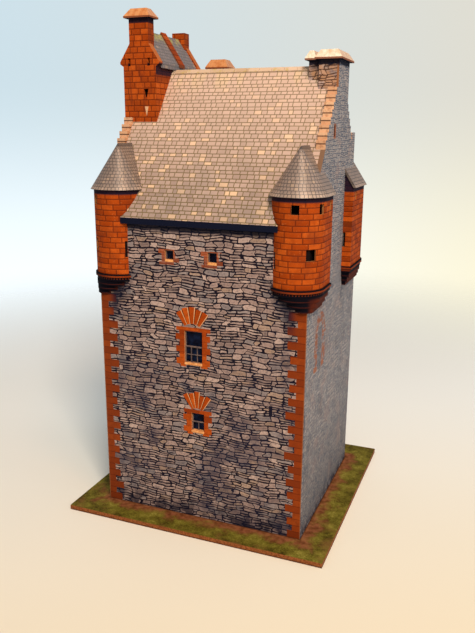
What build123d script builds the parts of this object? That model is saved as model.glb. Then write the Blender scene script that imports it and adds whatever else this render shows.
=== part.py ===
"""Card model of a tower house keep on its base card, built as separate glued pieces.

Lengths are millimetres, +Z is up, the front wall faces -Y. The origin is the centre of
the underside of the base card.
"""

import math
import os

from build123d import *

os.makedirs("parts", exist_ok=True)

# ---- driving dimensions -------------------------------------------------------------

tower_width = 95.0
tower_depth = 85.0
wall_card = 2.0
cut_margin = 1.0

base_margin = 13.5
base_back_margin = 16.0
base_thickness = 2.2

eave_height = 135.4
roof_height = 61.8
roof_card = 1.5
eave_overhang = 2.1
parapet_width = 4.0
step_rise = 3.0
step_lift = 0.6
step_setback = 18.5

turret_inset_x = 6.8
turret_inset_y = 7.6
turret_radius = 10.9
turret_card = 1.2
turret_base_drop = 24.8
turret_eave_rise = 11.2
turret_roof_height = 19.0
turret_roof_card = 1.0
turret_eave_overhang = 1.3
turret_flank_overlap = 0.8
front_flank_length = 10.4
back_flank_length = 21.9

caphouse_width = 16.0
caphouse_front_setback = 26.2
caphouse_rear_setback = 15.0
caphouse_gable_card = 3.5
caphouse_eave_rise = 4.0
caphouse_roof_height = 12.2
caphouse_roof_card = 1.2

window_card = 0.8
clearance = 0.3
turret_seat_gap = 0.15

# ---- derived positions --------------------------------------------------------------

base_width = tower_width + 2 * base_margin
base_depth = tower_depth + base_margin + base_back_margin
west = -tower_width / 2
east = tower_width / 2
front = -base_depth / 2 + base_margin
back = front + tower_depth
middle = (front + back) / 2
ground = base_thickness
eave = ground + eave_height
ridge = eave + roof_height
roof_pitch = roof_height / (tower_depth / 2 + eave_overhang)
roof_drop = roof_card * math.hypot(1, roof_pitch)
step_run = step_rise / roof_pitch

turret_base = eave - turret_base_drop
turret_eave = eave + turret_eave_rise
turret_apex = turret_eave + turret_roof_height
turret_eave_radius = turret_radius + turret_eave_overhang
turret_pitch = turret_roof_height / turret_eave_radius
turret_roof_drop = turret_roof_card * math.hypot(1, turret_pitch)
turret_wall_top = turret_apex - turret_radius * turret_pitch - turret_roof_drop - turret_seat_gap

caphouse_west = west
caphouse_east = west + caphouse_width
caphouse_middle = west + caphouse_width / 2
caphouse_front_face = front + caphouse_front_setback
caphouse_back_face = back - caphouse_rear_setback
caphouse_eave = ridge + caphouse_eave_rise
caphouse_ridge = caphouse_eave + caphouse_roof_height
caphouse_pitch = caphouse_roof_height / (caphouse_width / 2)
caphouse_roof_drop = caphouse_roof_card * math.hypot(1, caphouse_pitch)

CORNERS = {
    "front_left": (-1, -1),
    "front_right": (1, -1),
    "back_left": (-1, 1),
    "back_right": (1, 1),
}


def roof_top(y):
    """Height of the main roof's upper surface over a given depth."""
    return ridge - abs(y - middle) * roof_pitch


def roof_depth(z, side):
    """Depth at which the main roof's upper surface passes a height."""
    return middle + side * (ridge - z) / roof_pitch


def box(x0, x1, y0, y1, z0, z1, mode=Mode.ADD):
    """Axis-aligned block between two corners."""
    with Locations(((x0 + x1) / 2, (y0 + y1) / 2, (z0 + z1) / 2)):
        Box(abs(x1 - x0), abs(y1 - y0), abs(z1 - z0), mode=mode)


def save(piece, label):
    """Name the piece and write its file."""
    piece.part.label = label
    export_step(piece.part, "parts/" + label + ".step")


# ---- solid outline of the tower, for trimming what is fitted round it -----------------

outline_lap = 1.0

with BuildPart() as tower_outline:
    box(west, east, front, back, 0, eave - outline_lap)
    with BuildSketch(Plane.YZ.offset(west)):
        Polygon(
            (front, eave - 2 * outline_lap),
            (back, eave - 2 * outline_lap),
            (back, roof_top(back)),
            (middle, ridge),
            (front, roof_top(front)),
            align=None,
        )
    extrude(amount=tower_width)

with BuildPart() as caphouse_outline:
    box(caphouse_west, caphouse_east, caphouse_front_face, caphouse_back_face, eave, caphouse_ridge)


# ---- base ---------------------------------------------------------------------------

with BuildPart() as base_card:
    box(-base_width / 2, base_width / 2, -base_depth / 2, base_depth / 2, 0, base_thickness)
save(base_card, "base_card")


# ---- windows: centre across, sill, width, height --------------------------------------

great_window = (-2.5, 73.0, 8.4, 15.2)
lower_window = (-0.7, 41.6, 6.1, 9.2)
attic_sill = eave_height - 17.9
attic_left_window = (-13.3, attic_sill, 4.0, 5.0)
attic_right_window = (6.4, attic_sill, 4.2, 5.2)
all_windows = (great_window, lower_window, attic_left_window, attic_right_window)


def window_holes(y0, y1):
    """Openings cut right through a wall that runs along X."""
    for across, sill, width, height in all_windows:
        left = across - width / 2
        low = ground + sill
        box(
            left,
            left + width,
            y0 - cut_margin,
            y1 + cut_margin,
            low,
            low + height,
            mode=Mode.SUBTRACT,
        )


# ---- walls ----------------------------------------------------------------------------


def long_wall(outer, inner):
    """Front or back wall: full width, its head cut to the slope of the roof."""
    with BuildPart() as wall:
        with BuildSketch(Plane.YZ.offset(west)):
            Polygon(
                (outer, ground),
                (inner, ground),
                (inner, roof_top(inner) - roof_drop),
                (outer, roof_top(outer) - roof_drop),
                align=None,
            )
        extrude(amount=tower_width)
        window_holes(min(outer, inner), max(outer, inner))
    return wall


front_wall = long_wall(front, front + wall_card)
save(front_wall, "front_wall")

back_wall = long_wall(back, back - wall_card)
save(back_wall, "back_wall")


def gable_wall(x0):
    """End wall between the long walls, rising to the top of the roof."""
    y0 = front + wall_card
    y1 = back - wall_card
    with BuildPart() as wall:
        with BuildSketch(Plane.YZ.offset(x0)):
            Polygon(
                (y0, ground),
                (y1, ground),
                (y1, roof_top(y1)),
                (middle, ridge),
                (y0, roof_top(y0)),
                align=None,
            )
        extrude(amount=wall_card)
    return wall


left_gable_wall = gable_wall(west)
save(left_gable_wall, "left_gable_wall")

slot_width = 2.3
slot_height = 4.4
slot_sill = ridge - 28.3
slot_start = middle - 10.9

unpierced_gable = gable_wall(east - wall_card)

with BuildPart() as right_gable_wall:
    add(unpierced_gable.part)
    box(
        east - wall_card - cut_margin,
        east + cut_margin,
        slot_start,
        slot_start + slot_width,
        slot_sill,
        slot_sill + slot_height,
        mode=Mode.SUBTRACT,
    )
save(right_gable_wall, "right_gable_wall")


# ---- main roof --------------------------------------------------------------------------


def turret_centre(side_x, side_y):
    """Centre of a corner turret's round front in plan."""
    edge_y = front if side_y < 0 else back
    return side_x * (east - turret_inset_x), edge_y - side_y * turret_inset_y


def flank_length(side_y):
    """Length of the straight flank behind a turret's round front."""
    return front_flank_length if side_y < 0 else back_flank_length


def turret_notch(side_x, side_y):
    """Round cut that clears a turret, only as deep as the eave's overhang."""
    cx, cy = turret_centre(side_x, side_y)
    wall_face = front if side_y < 0 else back
    with BuildPart() as notch:
        with Locations((cx, cy, eave)):
            Cylinder(turret_radius + clearance, turret_base_drop)
        box(
            cx - tower_width,
            cx + tower_width,
            wall_face,
            middle,
            eave - turret_base_drop,
            eave + turret_base_drop,
            mode=Mode.SUBTRACT,
        )
    return notch


def roof_slope(side):
    """One slope of the main roof, notched at the eave round the turrets."""
    eave_edge = middle + side * (tower_depth / 2 + eave_overhang)
    notches = [turret_notch(side_x, side) for side_x in (-1, 1)]
    with BuildPart() as slab:
        with BuildSketch(Plane.YZ.offset(west + wall_card)):
            Polygon(
                (eave_edge, eave),
                (middle, ridge),
                (middle, ridge - roof_drop),
                (eave_edge, eave - roof_drop),
                align=None,
            )
        extrude(amount=tower_width - 2 * wall_card)
        for notch in notches:
            add(notch.part, mode=Mode.SUBTRACT)
    return slab


main_roof_front = roof_slope(-1)
save(main_roof_front, "main_roof_front")

main_roof_back = roof_slope(1)
save(main_roof_back, "main_roof_back")


turret_roof_seam = 1.5
turret_roof_run_in = 5.0


def turret_roof_outline(side_x, side_y, lowered, past):
    """Solid cone and saddle under a turret's slates, lowered by an amount."""
    cx, cy = turret_centre(side_x, side_y)
    base = turret_eave - lowered
    apex = turret_apex - lowered
    reach = roof_depth(turret_apex, side_y) - side_y * past
    run = max(abs(reach - cy), flank_length(side_y) + turret_flank_overlap + past)
    rim = turret_eave_radius
    with BuildPart() as outline:
        with Locations((cx, cy, (base + apex) / 2)):
            Cone(rim, 0, apex - base)
        with BuildSketch(Plane.XZ.offset(-cy)):
            Polygon((cx - rim, base), (cx + rim, base), (cx, apex), align=None)
        extrude(amount=side_y * run)
    return outline


# ---- right gable chimney ------------------------------------------------------------------

stack_front = middle - 6.7
stack_back = middle + 11.7
stack_west = east - 8.5
stack_foot = ridge - 30.0
stack_top = ridge + 2.3
inner_stack_west = stack_west - 5.1
inner_stack_front = middle - 4.0
inner_stack_back = middle + 6.0

chimney_cap_lip = 0.7
chimney_cap_height = 3.8
chimney_cap_slope = 2.2
cap_overhang_ends = 2.2
cap_overhang_sides = 1.5

with BuildPart() as gable_stack:
    box(stack_west, east, stack_front, stack_back, stack_foot, stack_top)
    add(tower_outline.part, mode=Mode.SUBTRACT)
save(gable_stack, "gable_stack")

with BuildPart() as inner_stack:
    box(inner_stack_west, stack_west, inner_stack_front, inner_stack_back, stack_foot, stack_top)
    add(tower_outline.part, mode=Mode.SUBTRACT)
save(inner_stack, "inner_stack")


def chimney_cap(x0, x1, y0, y1, z, slope, height):
    """Hipped cap: a thin lip with four slopes rising to a flat top."""
    with BuildPart() as cap:
        box(x0, x1, y0, y1, z, z + chimney_cap_lip)
        with BuildSketch(Plane.XY.offset(z + chimney_cap_lip)):
            with Locations(((x0 + x1) / 2, (y0 + y1) / 2)):
                Rectangle(x1 - x0, y1 - y0)
        with BuildSketch(Plane.XY.offset(z + height)):
            with Locations(((x0 + x1) / 2, (y0 + y1) / 2)):
                Rectangle(x1 - x0 - 2 * slope, y1 - y0 - 2 * slope)
        loft()
    return cap


cap_joint = stack_west - cap_overhang_sides

gable_cap = chimney_cap(
    cap_joint,
    east + cap_overhang_sides,
    stack_front - cap_overhang_ends,
    stack_back + cap_overhang_ends,
    stack_top,
    chimney_cap_slope,
    chimney_cap_height,
)
save(gable_cap, "gable_cap")

inner_cap_slope = 1.7

inner_cap = chimney_cap(
    inner_stack_west - cap_overhang_sides,
    cap_joint,
    inner_stack_front - cap_overhang_sides,
    inner_stack_back + cap_overhang_sides,
    stack_top,
    inner_cap_slope,
    chimney_cap_height,
)
save(inner_cap, "inner_cap")


# ---- crow-stepped gable copings ---------------------------------------------------------


def crow_steps(x0, x1, foot, stop, side_x, side_y):
    """Stepped coping on one slope, from its foot up to a stopping depth."""
    z_low = roof_top(foot)
    count = math.ceil(abs(foot - stop) / step_run)
    points = [(foot, z_low)]
    y = foot
    z = z_low + step_lift
    for index in range(count):
        z += step_rise
        points.append((y, z))
        y = y - side_y * step_run
        if index == count - 1:
            y = stop
        points.append((y, z))
    points.append((stop, roof_top(stop)))
    beside = turret_roof_outline(side_x, side_y, 0, turret_roof_run_in)
    with BuildPart() as steps:
        with BuildSketch(Plane.YZ.offset(x0)):
            Polygon(*points, align=None)
        extrude(amount=x1 - x0)
        add(beside.part, mode=Mode.SUBTRACT)
    return steps


front_step_foot = front + step_setback
back_step_foot = back - step_setback
right_parapet = east - parapet_width
left_parapet = west + parapet_width

right_front_steps = crow_steps(right_parapet, east, front_step_foot, stack_front, 1, -1)
save(right_front_steps, "right_front_steps")

left_front_steps = crow_steps(west, left_parapet, front_step_foot, caphouse_front_face, -1, -1)
save(left_front_steps, "left_front_steps")

kneeler_depth = 5.0
kneeler_rise = 6.7
kneeler_lap = 1.0

back_steps = crow_steps(right_parapet, east, back_step_foot, stack_back, 1, 1)
beside_kneeler = turret_roof_outline(1, 1, 0, turret_roof_run_in)

with BuildPart() as right_back_steps:
    add(back_steps.part)
    box(
        right_parapet,
        east,
        back_step_foot - kneeler_lap,
        back_step_foot + kneeler_depth,
        turret_eave,
        roof_top(back_step_foot) + kneeler_rise,
    )
    add(tower_outline.part, mode=Mode.SUBTRACT)
    add(beside_kneeler.part, mode=Mode.SUBTRACT)
save(right_back_steps, "right_back_steps")


# ---- caphouse -----------------------------------------------------------------------------

skew_rise = 1.2
shoulder = 1.6
shoulder_drop = 2.2
shoulder_slope = 1.0

with BuildPart() as caphouse_loft:
    with BuildSketch(Plane.XZ.offset(-caphouse_front_face)):
        Polygon(
            (caphouse_west, eave),
            (caphouse_east, eave),
            (caphouse_east, caphouse_eave - caphouse_roof_drop),
            (caphouse_middle, caphouse_ridge - caphouse_roof_drop),
            (caphouse_west, caphouse_eave - caphouse_roof_drop),
            align=None,
        )
    extrude(amount=-(caphouse_back_face - caphouse_front_face))


def skew_height(half):
    """Top of a raised skew at a distance from the caphouse's ridge."""
    return caphouse_ridge + skew_rise - half * caphouse_pitch


def caphouse_gable(y0, y1, stack_half, holes):
    """Gable of the caphouse, standing on the main roof, with raised skews."""
    reach = caphouse_width / 2 + shoulder
    shoulder_foot = caphouse_eave - shoulder_drop
    with BuildPart() as gable:
        with BuildSketch(Plane.XZ.offset(-y0)):
            Polygon(
                (caphouse_west, eave),
                (caphouse_east, eave),
                (caphouse_east, shoulder_foot - shoulder_slope),
                (caphouse_middle + reach, shoulder_foot),
                (caphouse_middle + reach, skew_height(reach)),
                (caphouse_middle + stack_half, skew_height(stack_half)),
                (caphouse_middle - stack_half, skew_height(stack_half)),
                (caphouse_middle - reach, skew_height(reach)),
                (caphouse_middle - reach, shoulder_foot),
                (caphouse_west, shoulder_foot - shoulder_slope),
                align=None,
            )
        extrude(amount=-(y1 - y0))
        for x, z, width, height, foot in holes:
            with BuildSketch(Plane.XZ.offset(cut_margin - y0)):
                Polygon(
                    (x, z + height),
                    (x + width / 2 - foot / 2, z),
                    (x + width / 2 + foot / 2, z),
                    (x + width, z + height),
                    align=None,
                )
            extrude(amount=-(y1 - y0 + 2 * cut_margin), mode=Mode.SUBTRACT)
        add(tower_outline.part, mode=Mode.SUBTRACT)
    return gable


# left edge, sill, top width, height and foot width of each slit in the caphouse's front
front_slits = (
    (caphouse_middle - 5.7, caphouse_eave - 3.0, 1.3, 3.3, 1.3),
    (caphouse_middle + 3.9, caphouse_eave - 3.0, 1.3, 3.3, 1.3),
    (caphouse_middle + 1.85, caphouse_eave - 16.2, 2.4, 3.6, 0.5),
)
front_stack_half = 4.7
rear_stack_half = 3.3
gable_inner = caphouse_front_face + caphouse_gable_card
rear_gable_inner = caphouse_back_face - caphouse_gable_card

caphouse_front = caphouse_gable(caphouse_front_face, gable_inner, front_stack_half, front_slits)
save(caphouse_front, "caphouse_front")

caphouse_rear = caphouse_gable(rear_gable_inner, caphouse_back_face, rear_stack_half, ())
save(caphouse_rear, "caphouse_rear")


def caphouse_side(x0):
    """Side wall of the caphouse, its foot cut to both slopes of the main roof."""
    with BuildPart() as wall:
        with BuildSketch(Plane.YZ.offset(x0)):
            Polygon(
                (gable_inner, roof_top(gable_inner)),
                (middle, ridge),
                (rear_gable_inner, roof_top(rear_gable_inner)),
                (rear_gable_inner, caphouse_ridge),
                (gable_inner, caphouse_ridge),
                align=None,
            )
        extrude(amount=wall_card)
        add(caphouse_loft.part, mode=Mode.INTERSECT)
    return wall


caphouse_left_wall = caphouse_side(caphouse_west)
save(caphouse_left_wall, "caphouse_left_wall")

side_slit_start = caphouse_front_face + 11.5
side_slit_sill = caphouse_eave - 4.2
side_slit_width = 1.8
side_slit_height = 1.9
unpierced_right_wall = caphouse_side(caphouse_east - wall_card)

with BuildPart() as caphouse_right_wall:
    add(unpierced_right_wall.part)
    box(
        caphouse_east - wall_card - cut_margin,
        caphouse_east + cut_margin,
        side_slit_start,
        side_slit_start + side_slit_width,
        side_slit_sill,
        side_slit_sill + side_slit_height,
        mode=Mode.SUBTRACT,
    )
save(caphouse_right_wall, "caphouse_right_wall")


def saddle(y0, y1, low_offset, high_offset, reach):
    """Folded strip lying over the caphouse's ridge, between two offsets from its slope."""
    foot = caphouse_ridge - reach * caphouse_pitch
    with BuildPart() as strip:
        with BuildSketch(Plane.XZ.offset(-y0)):
            Polygon(
                (caphouse_middle - reach, foot + low_offset),
                (caphouse_middle, caphouse_ridge + low_offset),
                (caphouse_middle + reach, foot + low_offset),
                (caphouse_middle + reach, foot + high_offset),
                (caphouse_middle, caphouse_ridge + high_offset),
                (caphouse_middle - reach, foot + high_offset),
                align=None,
            )
        extrude(amount=-(y1 - y0))
    return strip


slate_overhang = 1.0
slate_reach = caphouse_width / 2 + slate_overhang

caphouse_roof = saddle(gable_inner, rear_gable_inner, -caphouse_roof_drop, 0, slate_reach)
save(caphouse_roof, "caphouse_roof")

mid_skew_start = middle + 4.5
mid_skew_width = 5.0
mid_skew_reach = slate_reach + 0.6

mid_skew = saddle(mid_skew_start, mid_skew_start + mid_skew_width, 0, skew_rise, mid_skew_reach)
save(mid_skew, "mid_skew")


# ---- caphouse chimneys --------------------------------------------------------------------

stack_lap = 1.0
slate_trim_depth = 12.0
uncut_front = caphouse_gable(caphouse_front_face, gable_inner, front_stack_half, ())
slate_trim = saddle(gable_inner, rear_gable_inner, -slate_trim_depth, 0, slate_reach)

with BuildPart() as caphouse_solid:
    add(uncut_front.part)
    add(caphouse_rear.part)
    add(slate_trim.part)


def ridge_stack(half, y0, y1, top):
    """Chimney astride the caphouse's ridge, its foot cut to the gable and slates."""
    with BuildPart() as stack:
        box(
            caphouse_middle - half,
            caphouse_middle + half,
            y0,
            y1,
            skew_height(half) - stack_lap,
            top,
        )
        add(caphouse_solid.part, mode=Mode.SUBTRACT)
    return stack


front_stack_depth = 5.2
front_stack_back = caphouse_front_face + front_stack_depth
front_stack_top = caphouse_ridge + 4.3
front_cap_overhang = 1.6
front_cap_brow = 1.9
front_cap_slope = 2.4
front_cap_height = 4.0

caphouse_stack = ridge_stack(
    front_stack_half, caphouse_front_face, front_stack_back, front_stack_top
)
save(caphouse_stack, "caphouse_stack")

caphouse_cap = chimney_cap(
    caphouse_middle - front_stack_half - front_cap_overhang,
    caphouse_middle + front_stack_half + front_cap_overhang,
    caphouse_front_face - front_cap_brow,
    front_stack_back + front_cap_overhang,
    front_stack_top,
    front_cap_slope,
    front_cap_height,
)
save(caphouse_cap, "caphouse_cap")

rear_stack_depth = 5.0
rear_stack_front = caphouse_back_face - rear_stack_depth
rear_stack_top = caphouse_ridge + 2.9

caphouse_rear_stack = ridge_stack(
    rear_stack_half, rear_stack_front, caphouse_back_face, rear_stack_top
)
save(caphouse_rear_stack, "caphouse_rear_stack")


# ---- back wall chimney ----------------------------------------------------------------------

back_stack_setback = 1.5
back_stack_width = 9.0
back_stack_depth = 7.5
back_stack_west = west + turret_inset_x + turret_eave_radius + clearance
back_stack_east = back_stack_west + back_stack_width
back_stack_back = back - back_stack_setback
back_stack_front = back_stack_back - back_stack_depth
back_stack_top = ridge + 3.4
back_cap_height = 4.4

with BuildPart() as back_stack:
    box(back_stack_west, back_stack_east, back_stack_front, back_stack_back, eave, back_stack_top)
    add(tower_outline.part, mode=Mode.SUBTRACT)
save(back_stack, "back_stack")

back_cap = chimney_cap(
    back_stack_west - cap_overhang_sides,
    back_stack_east + cap_overhang_sides,
    back_stack_front - cap_overhang_sides,
    back_stack_back + cap_overhang_sides,
    back_stack_top,
    chimney_cap_slope,
    back_cap_height,
)
save(back_cap, "back_cap")


# ---- corner turrets -----------------------------------------------------------------------

# bearing from the corner's diagonal towards the long wall, sill, width, height
paired_windows = (
    (37.0, 29.5, 3.2, 3.7),
    (-25.0, 29.4, 3.1, 4.0),
    (0.5, 11.6, 4.4, 4.6),
    (87.0, 7.5, 1.2, 7.0),
)
stacked_windows = (
    (5.0, 29.6, 3.2, 4.1),
    (4.0, 9.8, 3.0, 5.4),
    (87.0, 7.5, 1.2, 7.0),
)
turret_windows = {
    "front_left": stacked_windows,
    "front_right": paired_windows,
    "back_left": paired_windows,
    "back_right": paired_windows,
}

flank_window_inset = {-1: 3.6, 1: 5.8}
flank_window_sill = 30.3
flank_window_width = 2.8
flank_window_height = 3.6
end_slot_sill = 9.2
end_slot_width = 1.3
end_slot_height = 6.6
cut_depth = 3.0

# drop below the turret wall, tier height, how far the tier draws in to the corner, extra radius
corbel_tiers = (
    (0.0, 1.4, 0.0, 0.7),
    (1.4, 1.6, 0.0, 0.1),
    (3.0, 2.2, 0.2, 0.4),
    (5.2, 2.2, 0.45, 0.5),
    (7.4, 1.8, 0.7, 0.6),
)
corbel_flank_draw = 3.0


def turret_plan(cx, cy, radius, side_x, side_y, length, z0, z1):
    """Round front with one straight flank running back along the side wall."""
    with Locations((cx, cy, (z0 + z1) / 2)):
        Cylinder(radius, z1 - z0)
    box(cx, cx + side_x * radius, cy, cy - side_y * length, z0, z1)


def turret_wall(side_x, side_y, windows):
    """Hollow card turret wall, open towards the tower, with small windows."""
    cx, cy = turret_centre(side_x, side_y)
    length = flank_length(side_y)
    z0 = turret_base
    z1 = turret_wall_top
    end = cy - side_y * length
    wall_x = side_x * east
    outer_x = cx + side_x * turret_radius
    peak = turret_apex - turret_inset_x * turret_pitch - turret_roof_drop - turret_seat_gap
    inner_radius = turret_radius - turret_card
    inner_length = length - turret_card
    diagonal = math.degrees(math.atan2(side_y, side_x))
    slot_y = end + side_y * flank_window_inset[side_y]
    window_z = z0 + flank_window_sill
    end_slot_z = z0 + end_slot_sill
    with BuildPart() as hollow:
        turret_plan(
            cx,
            cy,
            inner_radius,
            side_x,
            side_y,
            inner_length,
            z0 - cut_margin,
            z1 + cut_margin,
        )
    with BuildPart() as wall:
        turret_plan(cx, cy, turret_radius, side_x, side_y, length, z0, z1)
        add(hollow.part, mode=Mode.SUBTRACT)
        add(tower_outline.part, mode=Mode.SUBTRACT)
        with BuildSketch(Plane.XZ.offset(-end)):
            Polygon(
                (wall_x, z1 - cut_margin),
                (outer_x, z1 - cut_margin),
                (outer_x, z1),
                (wall_x, peak),
                align=None,
            )
        extrude(amount=-side_y * turret_card)
        for bearing, sill, width, height in windows:
            heading = diagonal + side_x * side_y * bearing
            with Locations(Location((cx, cy, z0 + sill + height / 2), (0, 0, heading))):
                with Locations((turret_radius, 0, 0)):
                    Box(2 * cut_depth, width, height, mode=Mode.SUBTRACT)
        box(
            outer_x - side_x * cut_depth,
            outer_x + side_x * cut_depth,
            slot_y - flank_window_width / 2,
            slot_y + flank_window_width / 2,
            window_z,
            window_z + flank_window_height,
            mode=Mode.SUBTRACT,
        )
        if side_y > 0:
            box(
                wall_x,
                wall_x + side_x * end_slot_width,
                end - cut_depth,
                end + cut_depth,
                end_slot_z,
                end_slot_z + end_slot_height,
                mode=Mode.SUBTRACT,
            )
    return wall


def turret_roof(side_x, side_y):
    """Half-cone of slates with a saddle running back to the main roof."""
    end = turret_centre(side_x, side_y)[1] - side_y * flank_length(side_y)
    slates = turret_roof_outline(side_x, side_y, 0, turret_roof_seam)
    loft_space = turret_roof_outline(side_x, side_y, turret_roof_drop, turret_roof_run_in)
    with BuildPart() as roof:
        add(slates.part)
        add(loft_space.part, mode=Mode.SUBTRACT)
        add(tower_outline.part, mode=Mode.SUBTRACT)
        box(
            side_x * east,
            side_x * (east + turret_eave_radius),
            end - side_y * turret_flank_overlap,
            middle,
            turret_base,
            turret_apex + cut_margin,
            mode=Mode.SUBTRACT,
        )
        if side_x < 0:
            add(caphouse_outline.part, mode=Mode.SUBTRACT)
    return roof


def turret_corbel(side_x, side_y):
    """Tiers of corbelling that draw in to the corner of the tower."""
    cx, cy = turret_centre(side_x, side_y)
    corner_x = side_x * east
    corner_y = front if side_y < 0 else back
    top = turret_base
    end = cy - side_y * flank_length(side_y)
    with BuildPart() as corbel:
        for drop, height, draw, extra in corbel_tiers:
            tier_x = cx + (corner_x - cx) * draw
            tier_y = cy + (corner_y - cy) * draw
            tier_end = end + side_y * draw * corbel_flank_draw
            turret_plan(
                tier_x,
                tier_y,
                turret_radius * (1 - draw) + extra,
                side_x,
                side_y,
                abs(tier_end - tier_y),
                top - drop - height,
                top - drop,
            )
        box(west, east, front, back, 0, eave, mode=Mode.SUBTRACT)
    return corbel


for corner, (side_x, side_y) in CORNERS.items():
    save(turret_wall(side_x, side_y, turret_windows[corner]), corner + "_turret_wall")
    save(turret_roof(side_x, side_y), corner + "_turret_roof")
    save(turret_corbel(side_x, side_y), corner + "_turret_corbel")


# ---- window cards glued behind the openings ---------------------------------------------------

card_margin = 2.0


def window_card_piece(windows, face, direction):
    """Printed card behind one opening, or behind a pair of openings."""
    left = min(across - width / 2 for across, sill, width, height in windows) - card_margin
    right = max(across + width / 2 for across, sill, width, height in windows) + card_margin
    low = min(sill for across, sill, width, height in windows) - card_margin
    high = max(sill + height for across, sill, width, height in windows) + card_margin
    with BuildPart() as card:
        box(left, right, face, face + direction * window_card, ground + low, ground + high)
    return card


window_groups = {
    "great_window_card": (great_window,),
    "lower_window_card": (lower_window,),
    "attic_window_card": (attic_left_window, attic_right_window),
}

for window_name, group in window_groups.items():
    save(window_card_piece(group, front + wall_card, 1), "front_" + window_name)
    save(window_card_piece(group, back - wall_card, -1), "back_" + window_name)
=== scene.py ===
"""Looks of the card model of a tower house keep: printed stone, slate, grass and windows.

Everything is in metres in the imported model's frame: +Z up, the front wall faces -Y.
Patterns are laid out in millimetres, which every finish works out from Object coordinates.
"""

import math

import bpy
from mathutils import Euler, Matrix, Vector


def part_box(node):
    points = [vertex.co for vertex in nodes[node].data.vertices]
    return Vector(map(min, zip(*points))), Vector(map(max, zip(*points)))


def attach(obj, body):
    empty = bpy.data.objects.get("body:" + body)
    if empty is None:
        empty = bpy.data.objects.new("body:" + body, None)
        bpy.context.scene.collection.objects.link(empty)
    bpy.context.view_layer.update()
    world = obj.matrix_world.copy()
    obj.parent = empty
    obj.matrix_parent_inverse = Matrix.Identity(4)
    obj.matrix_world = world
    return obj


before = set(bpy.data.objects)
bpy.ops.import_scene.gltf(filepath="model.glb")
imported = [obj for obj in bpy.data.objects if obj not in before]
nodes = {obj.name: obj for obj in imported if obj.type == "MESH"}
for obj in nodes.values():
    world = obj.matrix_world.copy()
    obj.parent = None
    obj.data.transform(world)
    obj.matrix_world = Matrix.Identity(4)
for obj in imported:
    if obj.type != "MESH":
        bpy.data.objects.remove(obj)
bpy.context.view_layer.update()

MM = 0.001

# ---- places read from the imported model, in millimetres -------------------------------


def corners(name):
    """Lowest and highest corner of a CAD node, in millimetres."""
    low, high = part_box(name)
    return low / MM, high / MM


wall_low, wall_high = corners("front_wall")
back_high = corners("back_wall")[1]
gable_high = corners("right_gable_wall")[1]
slope_low = corners("main_roof_front")[0]
loft_low, loft_high = corners("caphouse_front")
loft_rear_high = corners("caphouse_rear")[1]
loft_side_high = corners("caphouse_right_wall")[1]
loft_roof_low, loft_roof_high = corners("caphouse_roof")
stack_high = corners("gable_stack")[1]
inner_low = corners("inner_stack")[0]

WEST, EAST = wall_low.x, wall_high.x
FRONT, BACK = wall_low.y, back_high.y
MIDDLE = (FRONT + BACK) / 2
GROUND = wall_low.z
RIDGE = gable_high.z
ROOF_PITCH = (RIDGE - slope_low.z) / (MIDDLE - slope_low.y)
EAVE = RIDGE - ROOF_PITCH * (MIDDLE - FRONT)

TURRET_CORNERS = {
    "front_left": (-1, -1),
    "front_right": (1, -1),
    "back_left": (-1, 1),
    "back_right": (1, 1),
}
turret_low, turret_high = corners("front_right_turret_wall")
TURRET_RADIUS = 10.9
TURRET_INSET_X = TURRET_RADIUS - (turret_high.x - EAST)
TURRET_INSET_Y = TURRET_RADIUS - (FRONT - turret_low.y)
TURRET_BASE = turret_low.z
TURRET_EAVE = corners("front_right_turret_roof")[0].z

# ---- windows of the long walls: middle, sill, width, height --------------------------


# how far a window card reaches past its opening on every side
CARD_LAP = 2.0


def opening_behind(card_name):
    """Middle, sill, width and height of the opening in front of a window card."""
    low, high = corners(card_name)
    width = high.x - low.x - 2 * CARD_LAP
    height = high.z - low.z - 2 * CARD_LAP
    return (low.x + high.x) / 2, low.z + CARD_LAP, width, height


GREAT = opening_behind("front_great_window_card")
LOWER = opening_behind("front_lower_window_card")
attic_low, attic_high = corners("front_attic_window_card")
ATTIC_SILL = attic_low.z + CARD_LAP
ATTIC_LEFT = (attic_low.x + 4.0, ATTIC_SILL, 4.0, 5.0)
ATTIC_RIGHT = (attic_high.x - 4.1, ATTIC_SILL, 4.2, 5.2)

# ---- places that patterns follow -----------------------------------------------------

# where the torn print on the caphouse front lies
TEAR_ACROSS = (loft_low.x + loft_high.x) / 2 + 3.05
# where the crow steps begin on the slope, and how tall one is
STEP_SETBACK = 18.5
STEP_LIFT = 0.6
STEP_HEIGHT = 3.0
STEP_FOOT = EAVE + STEP_SETBACK * ROOF_PITCH + STEP_LIFT
# heights of one corner stone, one window jamb stone and one skew block
QUOIN_HEIGHT = 6.1
JAMB_COURSE = 2.75
SKEW_BLOCK = 2.2
# keeps the stones on a side face from repeating those on a front face
SIDE_SHIFT = 211.0
# height and width of one slate on a turret roof
CONE_COURSE = 1.28
CONE_SLATE = 1.6

# ---- shader arithmetic ---------------------------------------------------------------


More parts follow.
